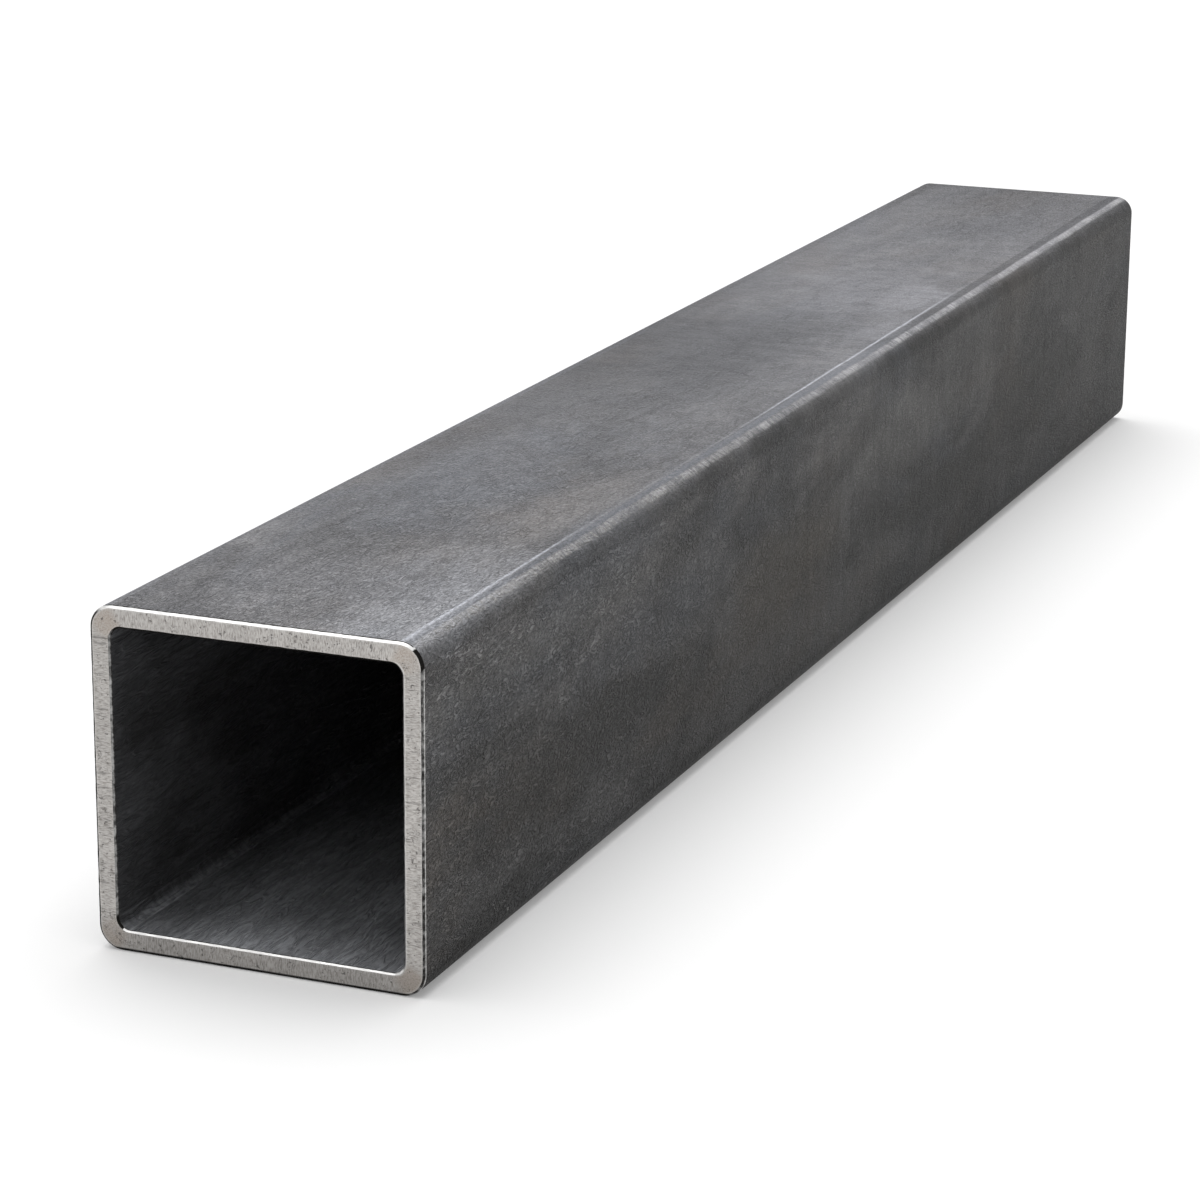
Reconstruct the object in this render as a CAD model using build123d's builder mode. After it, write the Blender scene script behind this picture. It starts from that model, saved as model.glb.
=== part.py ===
"""Square steel tube, hot finished and sawn to length, lying on one of its four faces.

Millimetres, +Z up. The tube runs along Y. The origin is in the middle of its underside,
halfway between the two sawn ends.
"""

import os

from build123d import *

# Rolled section
section_width = 100.0        # outside, the same across and up
wall_thickness = 6.3         # on the flats
outer_corner_radius = 7.0    # outside of each rolled corner
inner_corner_radius = 3.5    # inside of each rolled corner, so the corners are thicker than the walls

# Sawn length
cut_length = 750.0           # from one sawn end to the other
outer_edge_break = 1.0       # 45 degree deburring bevel round the outside of each sawn end
inner_edge_break = 0.6       # the same round the mouth of the bore

bore_width = section_width - 2 * wall_thickness
underside_to_axis = section_width / 2

# The section stands on the far end and is drawn towards the near end, in the direction of -Y.
far_end = Plane.XZ.offset(-cut_length / 2)

with BuildPart() as square_tube:
    with BuildSketch(far_end):
        with Locations((0, underside_to_axis)):
            RectangleRounded(section_width, section_width, outer_corner_radius)
            RectangleRounded(bore_width, bore_width, inner_corner_radius, mode=Mode.SUBTRACT)
    extrude(amount=cut_length)

    # Each sawn end is a flat ring of metal: its outer wire follows the skin, its inner wire the bore.
    sawn_ends = square_tube.faces().filter_by(Axis.Y)
    skin_edges = [edge for end in sawn_ends for edge in end.outer_wire().edges()]
    bore_edges = [edge for end in sawn_ends for wire in end.inner_wires() for edge in wire.edges()]
    chamfer(skin_edges, length=outer_edge_break)
    chamfer(bore_edges, length=inner_edge_break)

square_tube.part.label = "square_tube"

os.makedirs("parts", exist_ok=True)
export_step(square_tube.part, "parts/square_tube.step")
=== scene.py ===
"""Dresses the square steel tube: mill scale outside and in, sawn ends, deburred edges, studio."""

import logging
import math
from dataclasses import dataclass
from enum import Enum

import bmesh
import bpy
from mathutils import Matrix, Quaternion, Vector, noise


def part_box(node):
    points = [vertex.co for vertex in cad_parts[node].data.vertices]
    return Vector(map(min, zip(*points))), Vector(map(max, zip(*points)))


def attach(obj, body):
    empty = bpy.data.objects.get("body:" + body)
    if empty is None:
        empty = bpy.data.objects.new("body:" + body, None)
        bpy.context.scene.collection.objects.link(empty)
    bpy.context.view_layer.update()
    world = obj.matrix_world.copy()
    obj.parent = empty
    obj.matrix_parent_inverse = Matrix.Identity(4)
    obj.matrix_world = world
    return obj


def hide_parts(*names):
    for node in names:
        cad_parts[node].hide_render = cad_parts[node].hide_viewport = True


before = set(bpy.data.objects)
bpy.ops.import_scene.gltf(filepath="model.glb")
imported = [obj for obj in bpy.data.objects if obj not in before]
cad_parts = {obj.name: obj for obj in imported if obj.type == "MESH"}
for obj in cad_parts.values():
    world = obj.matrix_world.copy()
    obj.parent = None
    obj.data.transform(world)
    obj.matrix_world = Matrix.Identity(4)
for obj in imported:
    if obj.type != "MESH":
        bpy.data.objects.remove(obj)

NODE = "square_tube"
BODY = "root"

# What the mesh hands to the finishes
AROUND = "around_and_along"    # UV map: metres round the section, metres along the tube
PAST = "past_tangent"          # metres round a corner, from where the top or underside stops being flat
# The filed level is partly painted shadow: the outer underside bevels are dark as the contact shadow under
# the tube.
FILED = "filed"                # how bright the file left an edge: 1 is bright, 0 and below are dark

MIDDLE = 0.5                     # the middle value of a random pattern
LENGTHWISE = (1.0, 0.36, 1.0)    # draws a pattern out along the tube
QUARTER_TURN = math.pi / 2

Colour = tuple[float, float, float]
Point = tuple[float, float, float]
Socket = bpy.types.NodeSocket

log = logging.getLogger("square_tube")


class Surface(Enum):
    """The surfaces of the tube that are finished differently, by material slot."""

    SKIN = 0
    BORE = 1
    SAWN = 2
    OUTER_BREAK = 3
    INNER_BREAK = 4


# The slots of the filed bevels
BREAKS = {Surface.OUTER_BREAK.value, Surface.INNER_BREAK.value}


@dataclass(frozen=True)
class Ramp:
    """A level that glides from one value to another between two stops, and holds beyond them."""

    start: float
    end: float
    first: float = 0.0
    last: float = 1.0


@dataclass(frozen=True)
class Band:
    """A stretch of a coordinate; soft is half the distance over which its edges fade."""

    start: float
    end: float
    soft: float


@dataclass(frozen=True)
class Pattern:
    """A random pattern: how fine and rough it is, how folded, and how much finer along each axis."""

    per_metre: float
    detail: float = 3.0
    roughness: float = 0.5
    fold: float = 0.0
    drawn: Point = (1.0, 1.0, 1.0)


@dataclass(frozen=True)
class Stain:
    """A patch that is paler, darker, bluer or browner than the rest: mostly stains in the mill scale, and one
    painted sheen.
    """

    centre: Point
    reach: Point
    colour: Colour
    strength: float


class Shader:
    """A short way to write the node tree of one material or world."""

    def __init__(self, tree: bpy.types.NodeTree) -> None:
        """Empties a node tree and keeps it, to be filled."""
        tree.nodes.clear()
        self.tree = tree

    def add(self, kind: str, **settings: object) -> bpy.types.Node:
        """Adds one node.

        Args:
            kind: The node's type name, such as ShaderNodeMath.
            **settings: Properties of the node to set.

        Returns:
            The new node.
        """
        node = self.tree.nodes.new(kind)
        for name, value in settings.items():
            setattr(node, name, value)
        return node

    def feed(self, socket: Socket, value: object) -> None:
        """Links a socket to another node's output, or sets it to a constant.

        Args:
            socket: The input to feed.
            value: A signal, an output socket, a number or a colour.
        """
        value = value.socket if isinstance(value, Signal) else value
        if isinstance(value, Socket):
            self.tree.links.new(value, socket)
        elif isinstance(value, tuple) and len(socket.default_value) == 4:
            socket.default_value = (*value, 1.0)
        else:
            socket.default_value = value

    def read(self, kind: str, output: object = 0, **settings: object) -> "Signal":
        """Adds a node that needs no input and reads one of its outputs, by name or number."""
        return Signal(self, self.add(kind, **settings).outputs[output])

    def maths(self, operation: str, first: object, second: object = 0.0) -> "Signal":
        """Combines two numbers.

        Args:
            operation: The Math node's operation.
            first: The first number, socket or signal.
            second: The second number, socket or signal.

        Returns:
            The result.
        """
        node = self.add("ShaderNodeMath", operation=operation)
        self.feed(node.inputs[0], first)
        self.feed(node.inputs[1], second)
        return Signal(self, node.outputs[0])

    def mix(self, share: object, first: object, second: object, mode: str = "MIX") -> "Signal":
        """Mixes two colours.

        Args:
            share: How much of the second colour shows.
            first: The first colour.
            second: The second colour.
            mode: The Mix node's blend type.

        Returns:
            The mixed colour.
        """
        node = self.add("ShaderNodeMix", data_type="RGBA", blend_type=mode)
        for name, value in (("Factor_Float", share), ("A_Color", first), ("B_Color", second)):
            self.feed(next(socket for socket in node.inputs if socket.identifier == name), value)
        mixed = next(socket for socket in node.outputs if socket.identifier == "Result_Color")
        return Signal(self, mixed)

    def principled(self, levels: dict[str, object]) -> None:
        """Ends a material's tree with one Principled shader.

        Args:
            levels: What feeds each of the shader's sockets, by its name.
        """
        node = self.add("ShaderNodeBsdfPrincipled")
        for name, value in levels.items():
            self.feed(node.inputs[name], value)
        output = self.add("ShaderNodeOutputMaterial")
        self.feed(output.inputs["Surface"], node.outputs[0])


class Signal:
    """A number, coordinate or colour that a node tree works out, and what can be made of it."""

    STAIN_TEAR = 1.6
    STAIN_EDGE = Ramp(0.35, 1.15, 1.0, 0.0)

    def __init__(self, shader: Shader, socket: Socket) -> None:
        """Keeps a node's output socket, and the writer of the tree that the node is in."""
        self.shader = shader
        self.socket = socket

    def __add__(self, other: object) -> "Signal":
        """Adds another signal or a number."""
        return self.shader.maths("ADD", self, other)

    def __mul__(self, other: object) -> "Signal":
        """Multiplies by another signal or a number."""
        return self.shader.maths("MULTIPLY", self, other)

    def __sub__(self, other: object) -> "Signal":
        """Takes another signal or a number away."""
        return self.shader.maths("SUBTRACT", self, other)

    def __rsub__(self, other: float) -> "Signal":
        """Takes the signal away from a number."""
        return self.shader.maths("SUBTRACT", other, self)

    def __abs__(self) -> "Signal":
        """Gives the number without its sign."""
        return self.shader.maths("ABSOLUTE", self)

    __radd__ = __add__

    def most(self, *others: "Signal") -> "Signal":
        """Takes the largest of some numbers.

        Args:
            *others: The numbers to hold against this one.

        Returns:
            The largest.
        """
        largest = self
        for other in others:
            largest = self.shader.maths("MAXIMUM", largest, other)
        return largest

    def split(self) -> list["Signal"]:
        """Takes a coordinate apart.

        Returns:
            Its three numbers.
        """
        node = self.shader.add("ShaderNodeSeparateXYZ")
        self.shader.feed(node.inputs[0], self)
        return [Signal(self.shader, socket) for socket in node.outputs]

    def ramp(self, ramp: Ramp) -> "Signal":
        """Reads a ramp at this number.

        Args:
            ramp: The ramp.

        Returns:
            The ramp's level there.
        """
        node = self.shader.add("ShaderNodeMapRange", interpolation_type="SMOOTHSTEP")
        for socket, value in zip(node.inputs, (self, ramp.start, ramp.end, ramp.first, ramp.last)):
            self.shader.feed(socket, value)
        return Signal(self.shader, node.outputs[0])

    def band(self, band: Band) -> "Signal":
        """Marks a stretch of a coordinate.

        Args:
            band: The stretch.

        Returns:
            1 inside the stretch and 0 outside.
        """
        rise = self.ramp(Ramp(band.start - band.soft, band.start + band.soft))
        fall = self.ramp(Ramp(band.end - band.soft, band.end + band.soft, 1.0, 0.0))
        return rise * fall

    def noise(self, pattern: Pattern) -> "Signal":
        """Makes a smooth random pattern over this coordinate.

        Args:
            pattern: What the pattern is like.

        Returns:
            The pattern's value, from 0 to 1 with a mean of one half.
        """
        drawn = self.shader.add("ShaderNodeMapping")
        self.shader.feed(drawn.inputs["Vector"], self)
        drawn.inputs["Scale"].default_value = pattern.drawn
        node = self.shader.add("ShaderNodeTexNoise")
        self.shader.feed(node.inputs["Vector"], drawn.outputs[0])
        node.inputs["Scale"].default_value = pattern.per_metre
        node.inputs["Detail"].default_value = pattern.detail
        node.inputs["Roughness"].default_value = pattern.roughness
        node.inputs["Distortion"].default_value = pattern.fold
        return Signal(self.shader, node.outputs["Fac"])

    def curls(self, pattern: Pattern, width: float) -> "Signal":
        """Draws thin curled lines, a share of a pattern's range wide, where it crosses its middle value."""
        return abs(self.noise(pattern) - MIDDLE).ramp(Ramp(0.0, width, 1.0, 0.0))

    def ripples(self, pattern: Pattern, rings: float) -> "Signal":
        """Draws curled ridges, from -1 to 1 high, as many as rings over a pattern's whole range."""
        return self.shader.maths("SINE", self.noise(pattern) * (math.tau * rings))

    def blotch(self, stain: Stain, ragged: "Signal") -> "Signal":
        """Marks a stain with a torn outline.

        Args:
            stain: The stain.
            ragged: A pattern from 0 to 1 that tears the outline.

        Returns:
            The stain's strength in its middle, fading to 0 round it.
        """
        node = self.shader.add("ShaderNodeMapping")
        self.shader.feed(node.inputs["Vector"], self)
        node.inputs["Scale"].default_value = tuple(1 / size for size in stain.reach)
        moved = tuple(-at / size for at, size in zip(stain.centre, stain.reach))
        node.inputs["Location"].default_value = moved
        length = self.shader.add("ShaderNodeVectorMath", operation="LENGTH")
        self.shader.feed(length.inputs[0], node.outputs[0])
        away = Signal(self.shader, length.outputs["Value"])
        torn = away + (ragged - MIDDLE) * self.STAIN_TEAR
        return torn.ramp(self.STAIN_EDGE) * stain.strength

    def between(self, first: object, second: object) -> "Signal":
        """Mixes two colours: the first where this number is 0, the second where it is 1."""
        return self.shader.mix(self, first, second)

    def towards(self, colour: Colour, share: "Signal") -> "Signal":
        """Lets another colour show over this one by a share of it."""
        return self.shader.mix(share, self, colour)

    def shade(self, amount: "Signal") -> "Signal":
        """Makes this colour lighter or darker.

        Args:
            amount: What each channel is multiplied by.

        Returns:
            The shaded colour.
        """
        grey = self.shader.add("ShaderNodeCombineColor")
        for channel in grey.inputs:
            self.shader.feed(channel, amount)
        return self.shader.mix(1.0, self, grey.outputs[0], "MULTIPLY")

    def bump(self, depth: float) -> "Signal":
        """Turns a height pattern into a shading normal.

        Args:
            depth: The height in metres of a pattern value of one.

        Returns:
            The bumped normal.
        """
        node = self.shader.add("ShaderNodeBump")
        node.inputs["Distance"].default_value = depth
        self.shader.feed(node.inputs["Height"], self)
        return Signal(self.shader, node.outputs[0])


class Spot:
    """Where a finish is laid: on the object, round its section and past the start of a bend."""

    def __init__(self, shader: Shader) -> None:
        """Reads the coordinates.

        Args:
            shader: The writer of the material's tree.
        """
        self.shader = shader
        self.place = shader.read("ShaderNodeTexCoord", "Object")
        self.beside, self.along, self.up = self.place.split()
        self.around = shader.read("ShaderNodeUVMap", uv_map=AROUND)
        self.past = self.carried(PAST)

    def carried(self, name: str) -> Signal:
        """Gives a number that the mesh carries."""
        return self.shader.read("ShaderNodeAttribute", "Fac", attribute_name=name)


class Finish:
    """A finish of the steel, laid as one material. Each kind gives the levels of its own shader."""

    name: str

    def levels(self, spot: Spot) -> dict[str, object]:
        """Gives what feeds each socket of the Principled shader, by the socket's name."""
        raise NotImplementedError

    def build(self) -> bpy.types.Material:
        """Makes the material.

        Returns:
            The material.
        """
        material = bpy.data.materials.new(self.name)
        material.use_nodes = True
        shader = Shader(material.node_tree)
        shader.principled(self.levels(Spot(shader)))
        return material


@dataclass(frozen=True)
class Clouding:
    """The cloudy colours of mill scale on the flat faces, from dark to pale, brown and blue, with painted
    light and shade laid over them.
    """

    dark: Colour = (0.040, 0.039, 0.0385)
    light: Colour = (0.098, 0.096, 0.096)
    warm: Colour = (0.078, 0.069, 0.061)
    blue: Colour = (0.066, 0.070, 0.078)
    clouds: Pattern = Pattern(26.0, 8.0, 0.66, 0.5, drawn=(1.0, 0.38, 1.0))
    patches: Pattern = Pattern(18.0, 6.0, 0.62, 0.4, drawn=(1.0, 0.38, 1.0))
    mottle: Pattern = Pattern(150.0, 4.0, 0.62, 0.3, drawn=(1.0, 0.5, 1.0))
    ragged: Pattern = Pattern(55.0, 6.0, 0.68, 0.4, drawn=(1.0, 0.5, 1.0))
    rolled: Pattern = Pattern(150.0, 5.0, 0.66, 0.8, drawn=(0.26, 1.0, 1.0))
    cloudy: Ramp = Ramp(0.36, 0.64)
    brown_part: Ramp = Ramp(0.50, 0.66, 0.0, 0.6)
    blue_part: Ramp = Ramp(0.34, 0.48, 0.5, 0.0)
    mottled: Ramp = Ramp(0.28, 0.72, 0.90, 1.10)
    # Painted light and shade by height: the sides darker towards the bottom, the top lighter.
    painted_rise: Ramp = Ramp(0.0, 0.10, 0.58, 1.20)
    # Painted light at the near end and painted shade at the far end, for the sheen's change along the tube.
    near_painted_light: Ramp = Ramp(-0.375, -0.145, 1.36, 1.0)
    far_painted_shade: Ramp = Ramp(0.0, 0.375, 1.0, 0.68)
    # Painted light on the top and upper sides near the near end.
    shoulder: Ramp = Ramp(0.03, 0.09)
    shoulder_painted_light: Ramp = Ramp(-0.30, -0.16, 0.20, 0.0)
    rolled_shade: Ramp = Ramp(0.34, 0.66, -0.17, 0.19)
    rolled_near: Ramp = Ramp(-0.20, 0.04, 0.35, 1.0)
    rolled_far: Ramp = Ramp(0.22, 0.32, 1.0, 0.55)
    rolled_faces: Ramp = Ramp(0.090, 0.099, 0.80, 1.0)
    # Painted shade on the left of the top, along its middle.
    left_painted_shade: Ramp = Ramp(-0.045, -0.015, -0.30, 0.0)
    left_stretch: Band = Band(-0.18, 0.28, 0.06)
    on_top: Ramp = Ramp(0.090, 0.099)
    stains_and_sheen: tuple[Stain, ...] = (
        # Top
        # Painted sheen: a pale bluish patch on the top at the near end's right edge.
        Stain((0.038, -0.350, 0.100), (0.030, 0.070, 0.008), (0.180, 0.184, 0.195), 0.68),
        Stain((-0.041, -0.180, 0.100), (0.018, 0.060, 0.012), (0.042, 0.037, 0.032), 0.80),
        Stain((0.004, -0.262, 0.100), (0.020, 0.016, 0.012), (0.040, 0.039, 0.040), 0.50),
        Stain((-0.010, -0.200, 0.100), (0.030, 0.080, 0.012), (0.084, 0.090, 0.101), 0.55),
        Stain((0.033, -0.215, 0.100), (0.010, 0.060, 0.008), (0.112, 0.104, 0.096), 0.55),
        Stain((0.000, 0.002, 0.100), (0.044, 0.100, 0.012), (0.055, 0.055, 0.057), 0.85),
        Stain((0.006, -0.325, 0.100), (0.040, 0.026, 0.012), (0.066, 0.066, 0.069), 0.50),
        Stain((-0.034, -0.090, 0.100), (0.016, 0.075, 0.012), (0.046, 0.045, 0.044), 0.75),
        Stain((0.010, 0.130, 0.100), (0.036, 0.060, 0.012), (0.122, 0.122, 0.129), 0.52),
        Stain((0.036, 0.056, 0.100), (0.010, 0.034, 0.010), (0.160, 0.160, 0.168), 0.50),
        Stain((0.028, 0.118, 0.100), (0.014, 0.030, 0.012), (0.175, 0.175, 0.184), 0.60),
        Stain((-0.041, 0.085, 0.100), (0.008, 0.022, 0.010), (0.036, 0.031, 0.027), 0.80),
        Stain((0.024, 0.300, 0.100), (0.026, 0.070, 0.012), (0.056, 0.055, 0.057), 0.50),
        # Right side
        Stain((0.050, -0.300, 0.080), (0.012, 0.110, 0.010), (0.108, 0.106, 0.102), 0.32),
        Stain((0.050, 0.290, 0.084), (0.012, 0.080, 0.012), (0.060, 0.058, 0.056), 0.45),
        Stain((0.050, 0.130, 0.080), (0.012, 0.056, 0.014), (0.052, 0.051, 0.050), 0.40),
        Stain((0.050, -0.250, 0.040), (0.012, 0.080, 0.013), (0.038, 0.037, 0.036), 0.60),
        Stain((0.050, -0.205, 0.060), (0.012, 0.075, 0.014), (0.072, 0.076, 0.084), 0.50),
        Stain((0.050, -0.090, 0.046), (0.012, 0.060, 0.018), (0.074, 0.066, 0.056), 0.55),
        Stain((0.050, 0.090, 0.034), (0.012, 0.080, 0.011), (0.036, 0.035, 0.033), 0.65),
        Stain((0.050, 0.040, 0.066), (0.012, 0.080, 0.016), (0.112, 0.110, 0.107), 0.60),
        Stain((0.050, 0.230, 0.046), (0.012, 0.080, 0.012), (0.044, 0.043, 0.041), 0.60),
        Stain((0.050, 0.312, 0.042), (0.012, 0.024, 0.024), (0.120, 0.118, 0.116), 0.65),
    )

    def _level(self, spot: Spot) -> Signal:
        """Works out how pale each part of the tube is painted: painted light and shade by height, along the
        length, near the end and on the top's left, and rolled streaks.

        Args:
            spot: Where the scale lies.

        Returns:
            What the colour is multiplied by.
        """
        along = spot.along
        painted_lengthwise = along.ramp(self.near_painted_light) * along.ramp(self.far_painted_shade)
        painted_lift = spot.up.ramp(self.shoulder) * along.ramp(self.shoulder_painted_light)
        painted_lowering = spot.beside.ramp(self.left_painted_shade) * along.band(self.left_stretch) * spot.up.ramp(self.on_top)
        streaks = spot.around.noise(self.rolled).ramp(self.rolled_shade) * spot.up.ramp(self.rolled_faces)
        streaks = streaks * along.ramp(self.rolled_near) * along.ramp(self.rolled_far)
        return spot.up.ramp(self.painted_rise) * painted_lengthwise * (1.0 + streaks) * (1.0 + painted_lift) * (1.0 + painted_lowering)

    def lay(self, spot: Spot) -> Signal:
        """Colours the scale, with its stains, a painted sheen, and painted light and shade.

        Args:
            spot: Where the scale lies.

        Returns:
            The colour.
        """
        patches = spot.place.noise(self.patches)
        ragged = spot.place.noise(self.ragged)
        colour = spot.place.noise(self.clouds).ramp(self.cloudy).between(self.dark, self.light)
        colour = colour.towards(self.warm, patches.ramp(self.brown_part))
        colour = colour.towards(self.blue, patches.ramp(self.blue_part))
        # Stains, and the painted sheen at the near end.
        for stain in self.stains_and_sheen:
            colour = colour.towards(stain.colour, spot.place.blotch(stain, ragged))
        colour = colour.shade(spot.place.noise(self.mottle).ramp(self.mottled))
        return colour.shade(self._level(spot))


@dataclass(frozen=True)
class Wear:
    """Where a rolled bend is worn, and where painted highlight and painted shade lie on it, each as a
    strength from 0 to 1.
    """

    ticks: Signal
    line: Signal
    rubbed: Signal
    smooth: Signal
    band: Signal
    worn_highlight: Signal
    shadow: Signal
    turned_shade: Signal


@dataclass(frozen=True)
class BendWear:
    """The marks of the rolls on a bend, with light and shade painted on it: a burnished line that drifts
    off it, a smooth strip beside the line, a worn band with marks across it that is partly a painted
    highlight, a painted shadow strip below the band and painted shade on the left bends."""

    polished: Colour = (0.105, 0.112, 0.126)
    worn_highlight: Colour = (0.22, 0.215, 0.205)
    burnished: Colour = (0.34, 0.35, 0.375)
    drift: Pattern = Pattern(30.0, 4.0, 0.6, drawn=(0.0, 1.0, 1.0))
    drift_reach: float = 0.0012
    right_pressed: Ramp = Ramp(0.0, 0.02, 0.5, 1.0)
    top_pressed: Ramp = Ramp(0.03, 0.06, 0.25, 1.0)
    on_right: Ramp = Ramp(0.0, 0.02)
    on_left: Ramp = Ramp(-0.03, -0.02, 1.0, 0.0)
    ticks: Pattern = Pattern(560.0, 5.0, 0.70, 0.9, drawn=(0.34, 1.0, 1.0))

    line_slope: float = 0.0068
    line_offset: float = 0.0019
    line_width: Band = Band(-0.0004, 0.0004, 0.0005)
    line_near: Ramp = Ramp(-0.285, -0.235, 1.0, 0.22)
    line_middle: Band = Band(-0.085, 0.105, 0.035)
    line_middle_strength: float = 0.65
    line_ends: Ramp = Ramp(0.10, 0.19, 1.0, 0.0)
    line_ticks: Ramp = Ramp(0.3, 0.6, 0.6, 1.0)

    # The worn band is partly real wear and partly a painted highlight: pale and metallic, it slides round the
    # bend along the tube as a highlight does.
    band_slope: float = 0.0025
    band_offset: Ramp = Ramp(-0.03, -0.02, -0.0064, -0.0034)
    band_width: Band = Band(-0.0013, 0.0014, 0.0006)
    band_ticks: Ramp = Ramp(0.40, 0.58, 0.20, 1.1)
    band_places: Pattern = Pattern(34.0, 3.0, 0.6, drawn=(0.0, 1.0, 1.0))
    band_part: Ramp = Ramp(0.38, 0.60, 0.40, 1.15)
    far_ticks: Ramp = Ramp(0.08, 0.28, 1.0, 0.35)
    far_even: Ramp = Ramp(0.08, 0.28, 0.0, 0.42)
    band_ends: Ramp = Ramp(0.1, 0.3, 0.78, 1.0)

    smooth_start: Ramp = Ramp(0.0006, 0.0012)
    smooth_end: Ramp = Ramp(-0.0018, -0.0010, 1.0, 0.0)
    smooth_polish: Ramp = Ramp(-0.02, 0.10, 0.7, 0.0)
    smooth_dark: Ramp = Ramp(0.0, 0.11, 0.0, -0.40)
    smooth_dull: Ramp = Ramp(-0.03, 0.08, 0.0, -0.36)
    rubbed_width: Band = Band(-0.0004, 0.0022, 0.0008)
    rubbed_near: Ramp = Ramp(-0.36, -0.30, 0.75, 0.0)
    rubbed_ticks: Ramp = Ramp(0.36, 0.60, 0.45, 1.0)
    # Painted shadow: a dark strip round the bend below the worn band, where the bend turns from the light.
    shadow_width: Band = Band(0.0030, 0.0082, 0.0014)
    shadow_rise: Ramp = Ramp(-0.35, -0.22, 0.0016, 0.0)
    shadow_dark: Ramp = Ramp(-0.35, -0.28, -0.46, -0.28)
    # Painted shade on the left bends, darkening them towards their outline.
    turned_width: Band = Band(0.0006, 0.0036, 0.0006)
    turned_dark: float = -0.4
    metal: float = 0.4
    smoother: float = -0.10

    def wandered(self, spot: Spot) -> Signal:
        """Lets the distance past a bend's start wander, as the marks of rolls do."""
        return spot.past + (spot.around.noise(self.drift) - MIDDLE) * self.drift_reach

    def _line(self, spot: Spot, from_line: Signal, ticks: Signal) -> Signal:
        """Works out the burnished line.

        Args:
            spot: Where the scale lies.
            from_line: The distance past the line.
            ticks: The pattern of marks across the bend.

        Returns:
            The line's strength.
        """
        middle = spot.along.band(self.line_middle) * self.line_middle_strength
        strength = (spot.along.ramp(self.line_near) + middle) * spot.along.ramp(self.line_ends)
        marked = ticks.ramp(self.line_ticks) * spot.beside.ramp(self.on_right)
        return from_line.band(self.line_width) * strength * marked

    def find(self, spot: Spot) -> Wear:
        """Finds where the bends are worn, and where their painted highlight and painted shade lie.

        Args:
            spot: Where the scale lies, with its wandering distance past the bend's start.

        Returns:
            The wear.
        """
        past, along = spot.past, spot.along
        ticks = spot.around.noise(self.ticks)
        pressed = spot.beside.ramp(self.right_pressed) * spot.up.ramp(self.top_pressed)
        from_line = past + along * self.line_slope + self.line_offset
        from_band = past + along * self.band_slope + spot.beside.ramp(self.band_offset)
        from_shadow = from_band + along.ramp(self.shadow_rise)
        band = from_band.band(self.band_width)
        marks = ticks.ramp(self.band_ticks) * along.ramp(self.far_ticks) + along.ramp(self.far_even)
        marks = marks * spot.around.noise(self.band_places).ramp(self.band_part)
        rubbed = from_line.band(self.rubbed_width) * along.ramp(self.rubbed_near)
        return Wear(
            ticks=ticks,
            line=self._line(spot, from_line, ticks) * pressed,
            rubbed=rubbed * ticks.ramp(self.rubbed_ticks) * pressed,
            smooth=from_line.ramp(self.smooth_start) * from_band.ramp(self.smooth_end) * pressed,
            band=band,
            worn_highlight=band * marks * pressed * abs(along).ramp(self.band_ends),
            shadow=from_shadow.band(self.shadow_width),
            turned_shade=past.band(self.turned_width) * spot.beside.ramp(self.on_left),
        )

    def lay(self, spot: Spot, wear: Wear, colour: Signal) -> Signal:
        """Colours the worn bends, with their painted highlight and painted shade.

        Args:
            spot: Where the scale lies.
            wear: Where the bends are worn.
            colour: The colour of the scale.

        Returns:
            The colour with the wear on it.
        """
        colour = colour.towards(self.polished, wear.smooth * spot.along.ramp(self.smooth_polish))
        colour = colour.shade(1.0 + wear.smooth * spot.along.ramp(self.smooth_dark))
        colour = colour.towards(self.burnished, wear.rubbed)
        # The worn band: real wear and a painted highlight.
        colour = colour.towards(self.worn_highlight, wear.worn_highlight)
        colour = colour.towards(self.burnished, wear.line)
        # Painted shadow below the band, and painted shade on the left bends.
        shadow = wear.shadow * spot.along.ramp(self.shadow_dark)
        return colour.shade(1.0 + shadow + wear.turned_shade * self.turned_dark)


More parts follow.
